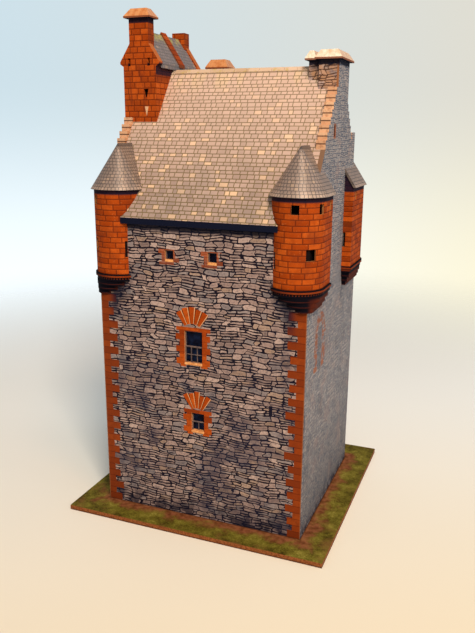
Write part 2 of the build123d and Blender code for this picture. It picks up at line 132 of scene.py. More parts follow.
class Wire:
    """A value running through a finish. Arithmetic on it adds Math nodes."""

    def __init__(self, finish, socket):
        self.finish = finish
        self.socket = socket

    def math(self, operation, *others):
        values = dict(enumerate((self, *others)))
        return self.finish.node("ShaderNodeMath", {"operation": operation}, values)

    def __add__(self, other):
        return self.math("ADD", other)

    def __sub__(self, other):
        return self.math("SUBTRACT", other)

    def __mul__(self, other):
        return self.math("MULTIPLY", other)

    def __truediv__(self, other):
        return self.math("DIVIDE", other)

    def __rsub__(self, other):
        return (self * -1.0) + other

    def __lt__(self, other):
        return self.math("LESS_THAN", other)

    def __gt__(self, other):
        return self.math("GREATER_THAN", other)

    __radd__ = __add__
    __rmul__ = __mul__

    def floor(self):
        return self.math("FLOOR")

    def fraction(self):
        return self.math("FRACT")

    def size(self):
        return self.math("ABSOLUTE")

    def least(self, other):
        return self.math("MINIMUM", other)

    def most(self, other):
        return self.math("MAXIMUM", other)

    def fade(self, start, end):
        """0 at start, 1 at end, smooth between and flat beyond."""
        settings = {"interpolation_type": "SMOOTHSTEP"}
        return self.finish.node("ShaderNodeMapRange", settings, {0: self, 1: start, 2: end})

    def between(self, low, high, soft=0.1):
        """1 inside a range, 0 outside it."""
        return self.fade(low - soft, low + soft) * (1 - self.fade(high - soft, high + soft))


class Finish:
    """One printed or painted finish, or the backdrop's, built as a node tree."""

    def __init__(self, name, world=None):
        self.material = world or bpy.data.materials.new(name)
        self.material.use_nodes = True
        self.tree = self.material.node_tree
        self.tree.nodes.clear()
        if world:
            return
        place = self.node("ShaderNodeTexCoord", output="Object")
        self.spot = self.node(
            "ShaderNodeVectorMath", {"operation": "SCALE"}, {0: place, "Scale": 1 / MM}
        )
        self.x, self.y, self.z = self.parts_of(self.spot)
        facing = self.node("ShaderNodeTexCoord", output="Normal")
        self.facing_x, self.facing_y, self.facing_z = self.parts_of(facing)

    def node(self, kind, settings=None, values=None, output=0):
        """Add a node: its settings first, then the values or links of its sockets."""
        made = self.tree.nodes.new(kind)
        for key, value in (settings or {}).items():
            if key == "stops":
                self.set_stops(made.color_ramp, value)
            else:
                setattr(made, key, value)
        for key, value in (values or {}).items():
            if isinstance(value, Wire):
                self.tree.links.new(value.socket, made.inputs[key])
            else:
                made.inputs[key].default_value = value
        return Wire(self, made.outputs[output]) if len(made.outputs) else None

    def set_stops(self, ramp, stops):
        """Give a colour ramp its stops, as (place, colour) pairs."""
        while len(ramp.elements) < len(stops):
            ramp.elements.new(1.0)
        for element, (place, colour) in zip(ramp.elements, stops):
            element.position = place
            element.color = (*colour, 1.0)

    def parts_of(self, vector):
        return [self.node("ShaderNodeSeparateXYZ", None, {0: vector}, axis) for axis in range(3)]

    def vector(self, x, y, z=0.0):
        return self.node("ShaderNodeCombineXYZ", None, {0: x, 1: y, 2: z})

    def choose(self, test, yes, no):
        """yes where test is 1, no where it is 0."""
        return self.node("ShaderNodeMix", {"data_type": "FLOAT"}, {0: test, 2: no, 3: yes})

    def ramp(self, amount, *stops):
        return self.node("ShaderNodeValToRGB", {"stops": stops}, {0: amount})

    def paint(self, under, over, amount, how="MIX"):
        """Lay one colour over another by an amount."""
        settings = {"data_type": "RGBA", "blend_type": how}
        under = under if isinstance(under, Wire) else (*under, 1.0)
        over = over if isinstance(over, Wire) else (*over, 1.0)
        return self.node("ShaderNodeMix", settings, {0: amount, 6: under, 7: over}, 2)

    def noise(self, grain, detail=2.0, at=None, roughness=0.5):
        """Cloudy pattern, from 0 to 1, whose patches are about grain millimetres across."""
        values = {
            "Vector": at or self.spot,
            "Scale": 1 / grain,
            "Detail": detail,
            "Roughness": roughness,
        }
        return self.node("ShaderNodeTexNoise", None, values)

    def random(self, x, y):
        """A fixed random number for each whole pair of numbers."""
        at = self.vector(x, y)
        return self.node("ShaderNodeTexWhiteNoise", {"noise_dimensions": "2D"}, {0: at})

    def finish_as(self, colour, relief=None, depth=0.06, roughness=0.62, gloss=0.04):
        """Close the tree with a shader, its relief in millimetres."""
        values = {"Base Color": colour, "Roughness": roughness, "Specular IOR Level": gloss}
        if relief is not None:
            bump = {"Height": relief, "Distance": depth * MM, "Strength": 1.0}
            values["Normal"] = self.node("ShaderNodeBump", None, bump)
        shader = self.node("ShaderNodeBsdfPrincipled", None, values)
        self.node("ShaderNodeOutputMaterial", None, {0: shader})
        return self.material


# ---- printed patterns ----------------------------------------------------------------


def courses(f, u, v, length, height, joint, ragged=0.5, key=0.0):
    """Blocks laid in courses, each course broken differently.

    u counts blocks along a course and v counts courses; length and height are one block's
    size. Gives 1 on a block and 0 in a joint, a random number for each block, and how far
    up the block a point is.
    """
    course = v.floor()
    rise = v.fraction()
    place = u + f.random(course, 7.3 + key)
    cell = place.floor()
    within = place.fraction()
    left = f.random(cell, course + key) * ragged
    before = f.random(cell - 1.0, course + key) * ragged - 1.0
    after = f.random(cell + 1.0, course + key) * ragged + 1.0
    early = within < left
    near_edge = (within - left).size()
    far_edge = f.choose(early, within - before, after - within)
    side_gap = near_edge.least(far_edge) * length
    bed_gap = rise.least(1 - rise) * height
    face = side_gap.least(bed_gap).fade(joint * 0.25, joint)
    tone = f.random(cell - early + 0.37, course + 0.61 + key)
    return face, tone, rise


def rubble(f, across, up, length, height, joint):
    """Coursed rubble: long stones in wavering courses, some split into two thin ones.

    Gives 1 on a stone and 0 in a joint, two random numbers for each stone, and the
    distance in from a stone's edge.
    """
    flat = f.vector(across, up)
    waver = f.noise(14.0, 1.0, flat) * 1.3 + f.noise(4.0, 0.0, flat) * 0.35
    drift = f.noise(5.0, 1.0, f.vector(across, up * 2.0 + 31.0)) * 1.2
    chips = (f.noise(0.75, 2.0, flat) - 0.5) * 0.55
    v = up / height + waver
    course = v.floor()
    rise = v.fraction()
    place = across / length + drift + f.random(course, 3.7) * 9.0
    cell = place.floor()
    within = place.fraction()
    left = f.random(cell, course) * 0.62
    before = f.random(cell - 1.0, course) * 0.62 - 1.0
    after = f.random(cell + 1.0, course) * 0.62 + 1.0
    early = within < left
    near_edge = (within - left).size()
    far_edge = f.choose(early, within - before, after - within)
    stone = cell - early + 0.37
    cut = f.random(stone, course + 0.21) * 0.24 + 0.38
    split = f.random(stone, course + 0.83) > 0.46
    upper = (rise > cut) * split
    bed_gap = rise.least(1 - rise)
    bed_gap = f.choose(split, bed_gap.least((rise - cut).size()), bed_gap) * height
    side_gap = near_edge.least(far_edge) * length
    inset = side_gap.math("SMOOTH_MIN", bed_gap, 0.45) + chips * 0.4
    width = (f.noise(3.4, 2.0, flat) - 0.24) * joint * 2.5
    face = (inset - width).fade(-0.05, 0.15)
    tone = f.random(stone + upper * 0.31, course + 0.61)
    mix = f.random(stone + upper * 0.17, course + 0.47)
    return face, tone, mix, inset


def turret_shade(f, colour):
    """Darken the part of a wall that is shut inside a corner turret."""
    off_x = f.x.size() - (EAST - TURRET_INSET_X)
    off_y = (f.y - MIDDLE).size() - ((BACK - FRONT) / 2 - TURRET_INSET_Y)
    round_part = (off_x * off_x + off_y * off_y).math("SQRT") < TURRET_RADIUS - 0.2
    flank = (off_y < 0.0) * (off_y > -8.5) * (off_x < TURRET_RADIUS - 1.1) * (off_x > 2.0)
    height = f.z.between(TURRET_BASE + 0.1, TURRET_EAVE + 0.5, 0.05)
    return f.paint(colour, (0.012, 0.008, 0.008), round_part.most(flank) * height)


def rubble_colour(f, across, up, cool, length=4.4, height=2.35, joint=0.32):
    """Printed rubble: pinkish grey stones, blue-black joints, cooler on the gables."""
    face, tone, mix, inset = rubble(f, across, up, length, height, joint)
    stone = f.ramp(
        tone,
        (0.0, (0.190, 0.130, 0.120)),
        (0.30, (0.300, 0.205, 0.182)),
        (0.70, (0.395, 0.275, 0.242)),
        (1.0, (0.510, 0.370, 0.320)),
    )
    stone = f.paint(stone, (0.205, 0.185, 0.195), (mix > 0.80) * 0.7)
    stone = f.paint(stone, (0.360, 0.235, 0.160), (mix < 0.10) * 0.7)
    stone = f.paint(stone, (0.330, 0.320, 0.315), cool * 0.75)
    mottle = f.noise(0.7, 3.0)
    stone = f.paint(stone, (0.105, 0.080, 0.085), (1 - mottle.fade(0.34, 0.56)) * 0.5)
    stone = f.paint(stone, (0.600, 0.460, 0.390), inset.between(0.35, 0.75, 0.15) * 0.18)
    joint_colour = f.paint((0.010, 0.008, 0.016), (0.105, 0.118, 0.155), cool)
    colour = f.paint(joint_colour, stone, face)
    return colour, face


# ---- one finish after another --------------------------------------------------------

# length, height and joint of the gables' rubble, in millimetres
GABLE_STONE = (3.2, 1.8, 0.20)

ORANGE_DARK = (0.250, 0.034, 0.003)
ORANGE = (0.385, 0.056, 0.004)
ORANGE_LIGHT = (0.520, 0.092, 0.009)
JOINT_BROWN = (0.070, 0.010, 0.004)
SHADOW_BLUE = (0.006, 0.008, 0.022)
CARD_EDGE = (0.300, 0.120, 0.050)
CREAM = (0.760, 0.480, 0.250)


def dressed_stone(f, tone, soft):
    """Orange dressed stone, each block its own shade."""
    colour = f.ramp(tone, (0.0, ORANGE_DARK), (0.5, ORANGE), (1.0, ORANGE_LIGHT))
    return f.paint(colour, ORANGE_DARK, (1 - soft.fade(0.35, 0.62)) * 0.45)


def jamb_mask(f, window, face_margin, long_step, short_step, course):
    """Long and short jamb stones either side of an opening, and a lintel over it."""
    middle, sill, width, height = window
    off = (f.x - middle).size() - width / 2
    level = (f.z - sill) / course
    long_one = (level.floor() * 0.5).fraction() < 0.25
    side = f.choose(f.x < middle, 3.1, 9.7)
    spread = short_step + long_one * (long_step - short_step)
    spread = spread + (f.random(level.floor(), side) - 0.5) * 0.7
    jamb = (off < spread) * (off > -0.6) * f.z.between(sill - 1.0, sill + height + 0.1)
    lintel = (off < face_margin) * f.z.between(sill + height - 0.1, sill + height + 1.7)
    lines = (level.fraction() * course).fade(0.03, 0.22)
    return jamb.most(lintel), lines


def fan_mask(f, middle, centre, inner, outer, half_angle, count):
    """Relieving arch of wedge stones over an opening."""
    dx = f.x - middle
    dz = f.z - centre
    radius = (dx * dx + dz * dz).math("SQRT")
    angle = dx.math("ARCTAN2", dz) * (180 / math.pi)
    step = 2 * half_angle / count
    place = (angle + half_angle) / step
    wedge = place.floor()
    key_stone = (wedge - (count - 1) / 2).size() < 0.4
    short_by = f.random(wedge, middle) * 1.7 * (1 - key_stone)
    within = place.fraction()
    inside = angle.between(-half_angle, half_angle, 0.3) * radius.between(inner, outer + 0.2, 0.15)
    inside = inside * (radius < (outer - short_by))
    dark = 1 - within.least(1 - within).fade(0.05, 0.10)
    pale = within.between(0.80, 0.93, 0.02)
    return inside, dark, pale, f.random(wedge, 4.2)


def wall_print(name, windows, small_windows):
    """Printed wall: rubble, corner quoins, dressed openings, staining and shadow."""
    f = Finish(name)
    sideways = f.facing_x.size() > 0.5
    across = f.choose(sideways, f.y + SIDE_SHIFT, f.x)
    colour, face = rubble_colour(f, across, f.z, sideways)

    stain = f.noise(19.0, 4.0, None, 0.62)
    blue = stain.fade(0.44, 0.64) * (1 - f.z.fade(GROUND + 42.0, GROUND + 95.0))
    low_damp = (1 - f.z.fade(GROUND, GROUND + 12.0)) * f.noise(5.0, 2.0).fade(0.40, 0.58)
    side_damp = f.x.size().fade(EAST - 17.0, EAST - 7.0) * f.noise(7.0, 3.0).fade(0.48, 0.62)
    colour = f.paint(colour, (0.016, 0.018, 0.044), blue * 0.62)
    colour = f.paint(colour, (0.010, 0.010, 0.022), low_damp * 0.85)
    colour = f.paint(colour, (0.012, 0.014, 0.034), side_damp * 0.55 * (1 - sideways))

    course = (f.z - GROUND) / QUOIN_HEIGHT
    long_one = course.fraction() < 0.56
    edge_side = f.choose(f.x > 0.0, 5.0, 11.0)
    long_width = 5.9 + f.random(course.floor(), edge_side) * 2.2
    width = f.choose(long_one, long_width, 3.7)
    from_edge = EAST - f.x.size()
    ragged = (f.noise(1.6, 1.0) - 0.5) * 0.5
    quoin = ((from_edge + ragged) < width) * (1 - sideways) * (f.z < TURRET_BASE - 9.0)
    quoin_line = (course * 2.0).fraction()
    quoin_bed = quoin_line.least(1 - quoin_line).fade(0.015, 0.06)
    tone = f.random((course * 2.0).floor(), edge_side + 1.0)
    dressed = dressed_stone(f, tone, f.noise(2.6, 3.0))
    gloom = 0.52 + (f.x < 0.0) * 0.13
    dressed = f.paint(dressed, (0.14, 0.030, 0.010), gloom)
    dressed = f.paint(JOINT_BROWN, dressed, quoin_bed * 0.75 + 0.25)
    colour = f.paint(colour, dressed, quoin)
    face = face.most(quoin)
    arris = (from_edge < 0.35) * (1 - sideways)
    colour = f.paint(colour, (0.27, 0.11, 0.045), arris * 0.8)

    for window, face_margin, arch in windows:
        jambs, lines = jamb_mask(f, window, face_margin, 3.8, 2.3, JAMB_COURSE)
        tone = f.random((f.z / JAMB_COURSE).floor(), f.x.math("SIGN"))
        stone = dressed_stone(f, tone, f.noise(1.7, 2.0))
        stone = f.paint(stone, (0.16, 0.045, 0.018), 0.12)
        stone = f.paint(JOINT_BROWN, stone, lines * 0.7 + 0.3)
        colour = f.paint(colour, stone, jambs * (1 - sideways))
        face = face.most(jambs)
        inside, dark, pale, tone = fan_mask(f, *arch)
        wedge = dressed_stone(f, tone, f.noise(2.0, 2.0))
        wedge = f.paint(wedge, CREAM, pale * 0.8)
        wedge = f.paint(wedge, JOINT_BROWN, dark * 0.85)
        colour = f.paint(colour, wedge, inside * (1 - sideways))
        face = face.most(inside)

    for middle, sill, width, height in small_windows:
        off = (f.x - middle).size() - width / 2
        band = f.z.between(sill - 1.2, sill + height + 0.3, 0.15)
        level = ((f.z - sill) / 1.75).floor()
        spread = f.random(level, f.choose(f.x < middle, 2.0, 4.0)) * 3.2 - 0.2
        patch = (off < spread) * band * (1 - sideways)
        stone = dressed_stone(f, f.random(level, 6.0), f.noise(1.2, 2.0))
        stone = f.paint(stone, (0.19, 0.085, 0.050), 0.35)
        colour = f.paint(colour, stone, patch * 0.85)

    slit_middle, slit_sill, slit_head = EAST - 14.5, GROUND + 55.3, GROUND + 59.7
    slit = ((f.x - slit_middle).size() < 0.75) * f.z.between(slit_sill, slit_head, 0.2)
    colour = f.paint(colour, (0.010, 0.009, 0.020), slit * (f.facing_y < -0.5))
    within_wall = sideways * (f.x.size() < EAST - 3.0)
    reveal = f.facing_z.size().fade(0.4, 0.6).most(within_wall)
    reveal = reveal * f.z.between(GROUND + 2.0, EAVE - 4.0, 0.5)
    colour = f.paint(colour, (0.62, 0.26, 0.095), reveal * 0.9)

    under_eave = f.z.fade(EAVE - 6.6, EAVE - 4.6) * (1 - sideways)
    round_turret = from_edge + (TURRET_BASE - f.z) * 0.55
    under_turret = (1 - round_turret.fade(13.0, 21.0)) * f.z.between(
        TURRET_BASE - 24.0, TURRET_BASE + 2.0, 4.0
    )
    colour = f.paint(colour, SHADOW_BLUE, under_eave * 0.9)
    clear_quoins = from_edge.fade(3.5, 8.0)
    colour = f.paint(colour, SHADOW_BLUE, under_turret * clear_quoins * 0.88 * (1 - sideways))
    return f.finish_as(turret_shade(f, colour), face, 0.05)


def gable_print():
    """Printed gable: cool rubble with a blocked arched window and the slot's dressing."""
    f = Finish("cool_rubble_print")
    colour, face = rubble_colour(f, f.y + SIDE_SHIFT, f.z, 1.0, *GABLE_STONE)
    fleck = f.noise(0.55, 2.0)
    colour = f.paint(colour, (0.070, 0.080, 0.110), (1 - fleck.fade(0.36, 0.46)) * 0.55)
    colour = f.paint(colour, (0.560, 0.570, 0.560), fleck.fade(0.56, 0.66) * 0.45)
    stain = f.noise(15.0, 4.0, None, 0.6).fade(0.50, 0.75)
    colour = f.paint(colour, (0.045, 0.055, 0.085), stain * 0.45)
    # darker towards the bottom
    lower_darkening = (1 - f.z.fade(GROUND + 8.0, GROUND + 62.0)) * 0.34
    colour = f.paint(colour, (0.035, 0.035, 0.045), lower_darkening)
    blush = f.noise(9.0, 3.0).fade(0.52, 0.70)
    colour = f.paint(colour, (0.33, 0.22, 0.19), blush * 0.30)

    right = f.x > 0.0
    dy = f.y - (FRONT + 21.2)
    dz = f.z - (GROUND + 89.0)
    radius = (dy * dy + dz * dz).math("SQRT")
    level = (dz / 3.0).floor()
    side = f.choose(dy < 0.0, 1.0, 2.0)
    reach = 6.6 + f.random(level, side) * 3.4
    jambs = (dy.size() > 3.4) * (dy.size() < reach) * dz.between(-17.5, 0.0, 0.2)
    head = radius.between(3.6, 8.0, 0.3) * dz.between(0.0, 9.0, 0.1)
    keystone = (dy.size() < 2.0) * dz.between(9.5, 13.5, 0.3)
    gaps = (dz / 3.0).fraction().fade(0.05, 0.16)
    patch = f.noise(2.6, 2.0).fade(0.36, 0.5) * gaps
    slot_y = f.y - (MIDDLE - 9.75)
    slot_z = f.z - (RIDGE - 26.1)
    slot = (1 - slot_y.size().fade(1.7, 2.1)) * (1 - slot_z.size().fade(2.8, 3.2))
    dressed = dressed_stone(f, f.random(level, side + 3.0), f.noise(2.0, 2.0))
    dressed = f.paint(dressed, (0.25, 0.15, 0.105), 0.60)
    dressing = jambs.most(head).most(keystone) * patch
    colour = f.paint(colour, dressed, dressing.most(slot) * right)
    blocking = right * dz.between(-17.5, 2.0) * (dy.size() < 3.0)
    colour = f.paint(colour, (0.060, 0.065, 0.085), blocking * 0.4)

    slope = f.z + (f.y - MIDDLE).size() * ROOF_PITCH
    sloping = slope.fade(RIDGE - 1.3, RIDGE - 0.9) * (f.facing_z > 0.3)
    colour = f.paint(colour, (0.20, 0.115, 0.070), sloping)
    # painted shade: the inside of the slot is painted near black
    slot_inside_shade = (f.x.size() < EAST - 0.3) * (slot_y.size() < 3.0) * (slot_z.size() < 5.0)
    colour = f.paint(colour, (0.012, 0.006, 0.005), slot_inside_shade)
    damp = (1 - f.z.fade(GROUND, GROUND + 6.0)) * f.noise(3.0, 2.0).fade(0.40, 0.55)
    colour = f.paint(colour, (0.010, 0.010, 0.022), damp * 0.8)
    front_line = 1 - f.y.fade(FRONT + 0.5, FRONT + 0.9)
    back_line = f.y.fade(BACK - 0.8, BACK - 0.4)
    colour = f.paint(colour, CARD_EDGE, front_line.most(back_line) * 0.85)
    return f.finish_as(turret_shade(f, colour), face, 0.05)


def stack_print():
    """Printed rubble of the big chimney, with shadow under its caps."""
    f = Finish("stack_rubble_print")
    sideways = f.facing_x.size() > 0.5
    across = f.choose(sideways, f.y + SIDE_SHIFT, f.x)
    outer = sideways * (f.x > EAST - 1.0)
    colour, face = rubble_colour(f, across, f.z, outer, 3.3, 2.1, 0.20)
    colour = f.paint(colour, (0.120, 0.060, 0.035), (1 - face) * (1 - outer) * 0.75)
    warm = f.noise(3.0, 2.0).fade(0.36, 0.58) * (1 - outer)
    colour = f.paint(colour, (0.50, 0.24, 0.10), warm * 0.60 * face)
    colour = f.paint(colour, CARD_EDGE, (f.x > EAST - 0.9) * (1 - sideways))
    edge = stack_high.z - 0.9 - f.noise(2.5, 1.0) * 2.2
    colour = f.paint(colour, SHADOW_BLUE, (f.z - edge).fade(-0.4, 0.4) * 0.95)
    return f.finish_as(colour, face, 0.05)


def ashlar_colour(f, across, up, length, height):
    """Orange dressed blocks in courses with thin dark joints."""
    u, v = across / length, up / height
    face, tone, rise = courses(f, u, v, length, height, 0.34, 0.35)
    colour = dressed_stone(f, tone, f.noise(3.4, 4.0))
    # painted highlight: each block is painted lighter towards its top
    colour = f.paint(colour, ORANGE_LIGHT, rise.fade(0.55, 0.95) * 0.25)
    speck = f.noise(0.7, 2.0).fade(0.62, 0.74)
    colour = f.paint(colour, (0.70, 0.30, 0.10), speck * 0.25)
    colour = f.paint(JOINT_BROWN, colour, face * 0.75 + 0.25)
    return colour, face


def caphouse_print():
    """Printed ashlar of the caphouse, cream on its sloping copings."""
    f = Finish("caphouse_ashlar_print")
    sideways = f.facing_x.size() > 0.5
    across = f.choose(sideways, f.y + 2.0, f.x)
    colour, face = ashlar_colour(f, across, f.z, 4.3, 2.45)
    # lightens every block a little, and the side faces more as painted light
    colour = f.paint(colour, (0.560, 0.120, 0.018), (sideways * 0.35 + 0.12) * face)
    wet = f.noise(5.0, 3.0, f.vector(f.x * 2.2, f.z * 0.6))
    streak = wet.fade(0.52, 0.66) * f.z.between(loft_low.z, loft_roof_low.z, 3.0)
    colour = f.paint(colour, (0.13, 0.022, 0.008), streak * 0.55)
    coping = f.facing_z.fade(0.25, 0.4)
    colour = f.paint(colour, (0.42, 0.125, 0.036), coping)
    from_ends = (f.y - loft_low.y).least(loft_rear_high.y - f.y)
    from_sides = (f.x - WEST).least(loft_side_high.x - f.x)
    # painted shade: faces shut inside the caphouse are painted near black
    shut_in_shade = (from_ends.least(from_sides) > 0.45) * (f.z < loft_roof_low.z + 0.8)
    colour = f.paint(colour, (0.016, 0.006, 0.004), shut_in_shade)
    loft_eave = loft_roof_low.z
    under_slates = f.z.between(loft_eave - 3.0, loft_eave + 2.0, 0.5) * sideways
    colour = f.paint(colour, SHADOW_BLUE, under_slates * 0.9)
    tear_foot = loft_roof_low.z - 19.6
    drop = f.z - tear_foot
    spread = (f.x - TEAR_ACROSS).size() - drop * 0.22
    tear = (1 - spread.fade(0.05, 0.30)) * drop.between(-0.6, 3.3, 0.2)
    colour = f.paint(colour, (0.72, 0.50, 0.30), tear * (1 - sideways) * 0.8)
    return f.finish_as(colour, face, 0.05)


def skew_print():
    """Orange of the skew that divides the caphouse's slates, with painted shade on its sides."""
    f = Finish("skew_print")
    block = f.z / SKEW_BLOCK
    colour = dressed_stone(f, f.random(block.floor(), 4.0), f.noise(1.6, 3.0))
    # painted shade: the sides are painted dark brown, the top only a little
    colour = f.paint(colour, (0.20, 0.055, 0.022), 1 - f.facing_z.fade(0.2, 0.5) * 0.75)
    joint = block.fraction()
    colour = f.paint(colour, JOINT_BROWN, (1 - joint.least(1 - joint).fade(0.03, 0.10)) * 0.8)
    return f.finish_as(colour, f.noise(0.8, 3.0), 0.03)


def stack_ashlar_print(name, top):
    """Printed ashlar of an orange chimney, with painted shade on its sides and a painted shadow
    just under its cap.
    """
    f = Finish(name)
    sideways = f.facing_x.size() > 0.5
    across = f.choose(sideways, f.y + 2.0, f.x)
    colour, face = ashlar_colour(f, across, f.z, 4.3, 2.45)
    # painted shade: the side faces are painted darker
    colour = f.paint(colour, (0.16, 0.035, 0.012), sideways * 0.40)
    colour = f.paint(colour, SHADOW_BLUE, f.z.fade(top - 2.3, top - 1.5) * 0.95)
    return f.finish_as(colour, face, 0.05)


def turret_frame(side_x, side_y):
    """Plan centre of a turret's round front."""
    edge = FRONT if side_y < 0 else BACK
    return side_x * (EAST - TURRET_INSET_X), edge - side_y * TURRET_INSET_Y


def round_place(f, side_x, side_y):
    """Bearing round a turret's centre, how far forward of it, and how far out."""
    cx, cy = turret_frame(side_x, side_y)
    out = (f.x - cx) * side_x
    forward = (f.y - cy) * side_y
    bearing = forward.math("ARCTAN2", out)
    reach = (out * out + forward * forward).math("SQRT")
    return bearing, forward, reach


def turret_print(corner, side_x, side_y):
    """Printed ashlar wrapped round a turret."""
    f = Finish(corner + "_turret_print")
    bearing, forward, reach = round_place(f, side_x, side_y)
    across = f.choose(forward > 0.0, bearing * TURRET_RADIUS, forward)
    colour, face = ashlar_colour(f, across, f.z - TURRET_BASE, 5.9, 2.3)
    stain = f.noise(8.0, 3.0).fade(0.52, 0.70)
    colour = f.paint(colour, (0.15, 0.026, 0.008), stain * 0.45)
    top = TURRET_EAVE - 0.5
    colour = f.paint(colour, SHADOW_BLUE, f.z.fade(top - 1.9, top - 1.0) * 0.95)
    low, high = corners(corner + "_turret_wall")
    end = (high.y if side_y < 0 else low.y) - turret_frame(side_x, side_y)[1]
    out = f.x * side_x - (EAST - TURRET_INSET_X)
    from_end = forward - end * side_y
    depth = (TURRET_RADIUS - f.choose(forward > 0.0, reach, out)).least(from_end)
    colour = f.paint(colour, (0.46, 0.20, 0.07), depth.fade(0.10, 0.30) * 0.8)
    # painted shade: the turret wall's inner surface, seen through its windows, is painted near
    # black
    colour = f.paint(colour, (0.012, 0.008, 0.008), depth.fade(1.00, 1.15))
    return f.finish_as(colour, face, 0.05)


def corbel_print(corner, side_x, side_y):
    """Corbel tiers: dentils under the rim, then dark blue and brown shaded tiers."""
    f = Finish(corner + "_corbel_print")
    bearing, forward, _ = round_place(f, side_x, side_y)
    across = f.choose(forward > 0.0, bearing * TURRET_RADIUS, forward)
    stone = dressed_stone(f, f.noise(3.0, 3.0), f.noise(1.6, 2.0))
    stone = f.paint(stone, (0.12, 0.030, 0.012), 0.35)
    drop = TURRET_BASE - f.z
    dentils = (across / 1.25).fraction().between(0.3, 0.7, 0.06) * drop.between(1.5, 2.2, 0.1)
    rim = drop.between(0.55, 1.25, 0.12)
    toward_light = f.facing_x.fade(-0.85, 0.35) * 0.75 + 0.20
    lit = (dentils * 0.55).most(rim * 0.9) * toward_light
    side = f.facing_x.fade(0.55, 0.95)
    tiers = (1 - (drop / 2.2).fraction().fade(0.06, 0.20)) * 0.22 * toward_light
    lit = lit.most(drop.fade(2.9, 4.5) * (side * 0.30).most(tiers))
    deep = (0.0035, 0.0030, 0.0065)
    colour = f.paint(deep, stone, lit)
    colour = f.paint(colour, deep, f.facing_z.size().fade(0.4, 0.8) * 0.9)
    return f.finish_as(colour, lit, 0.05)


def slate_colour(f, u, v, length, height, lichen, joint=0.26, ragged=0.5):
    """Printed slates: purple greys, a few tan, thin olive lines."""
    face, tone, rise = courses(f, u, v, length, height, joint, ragged)
    colour = f.ramp(
        tone,
        (0.0, (0.330, 0.235, 0.195)),
        (0.40, (0.420, 0.300, 0.245)),
        (0.89, (0.480, 0.345, 0.285)),
        (0.92, (0.660, 0.450, 0.290)),
        (1.0, (0.760, 0.520, 0.330)),
    )
    cloud = f.noise(18.0, 3.0)
    colour = f.paint(colour, (0.270, 0.215, 0.190), (1 - cloud.fade(0.35, 0.58)) * 0.45)
    colour = f.paint(colour, (0.58, 0.46, 0.16), lichen)
    shaded = 1 - rise.fade(0.0, 0.30)
    colour = f.paint(colour, (0.16, 0.12, 0.07), shaded * 0.30)
    line = f.paint((0.120, 0.088, 0.040), (0.215, 0.160, 0.072), f.noise(3.0, 1.0))
    return f.paint(line, colour, face), face, rise


def slope_print():
    """Slates of the main roof, mossier towards the ridge and painted paler towards it as painted
    light.
    """
    f = Finish("slope_slate_print")
    stretch = math.hypot(1, 1 / ROOF_PITCH)
    up = (f.z - EAVE) * stretch
    patch = f.noise(5.0, 3.0, f.vector(f.x, f.z * 0.35)).fade(0.50, 0.62)
    lichen = f.z.fade(RIDGE - 12.0, RIDGE - 3.0) * patch * 0.75
    pair = up / 3.9
    tall = pair.fraction() < 0.59
    within_pair = f.choose(tall, pair.fraction() / 0.59, (pair.fraction() - 0.59) / 0.41 + 1.0)
    v = pair.floor() * 2.0 + within_pair
    colour, face, rise = slate_colour(f, f.x / 2.9, v, 2.9, 1.95, lichen, 0.30)
    # painted light: the slates are painted paler towards the ridge, more on the slates than in
    # their joints
    pale = f.z.fade(EAVE, RIDGE) * (face * 0.8 + 0.2)
    colour = f.paint(colour, (0.80, 0.56, 0.43), pale * 0.62)
    under = f.facing_z.fade(-0.1, -0.4)
    colour = f.paint(colour, SHADOW_BLUE, under)
    ends = 1 - f.facing_z.size().fade(0.2, 0.45)
    colour = f.paint(colour, SHADOW_BLUE, ends)
    eave_edge = (f.z < slope_low.z + 1.2) * (f.facing_y.size() < 0.75)
    colour = f.paint(colour, SHADOW_BLUE, eave_edge)
    return f.finish_as(turret_shade(f, colour), face * 0.6 + rise * 0.4, 0.08)


def caphouse_slate_print():
    """Cooler slates of the caphouse, mossy at its ridge."""
    f = Finish("caphouse_slate_print")
    v = (f.z - loft_roof_low.z) * 1.19 / 1.7
    mossy = f.z.fade(loft_roof_high.z - 5.0, loft_roof_high.z - 1.0)
    lichen = mossy * f.noise(3.0, 3.0).fade(0.42, 0.60) * 0.8
    colour, face, rise = slate_colour(f, f.y / 2.4, v, 2.4, 1.7, 0.0, 0.22)
    colour = f.paint(colour, (0.105, 0.120, 0.150), 0.68)
    colour = f.paint(colour, (0.40, 0.36, 0.12), lichen)
    colour = f.paint(colour, SHADOW_BLUE, f.facing_z.fade(-0.1, -0.4))
    return f.finish_as(colour, face * 0.6 + rise * 0.4, 0.08)


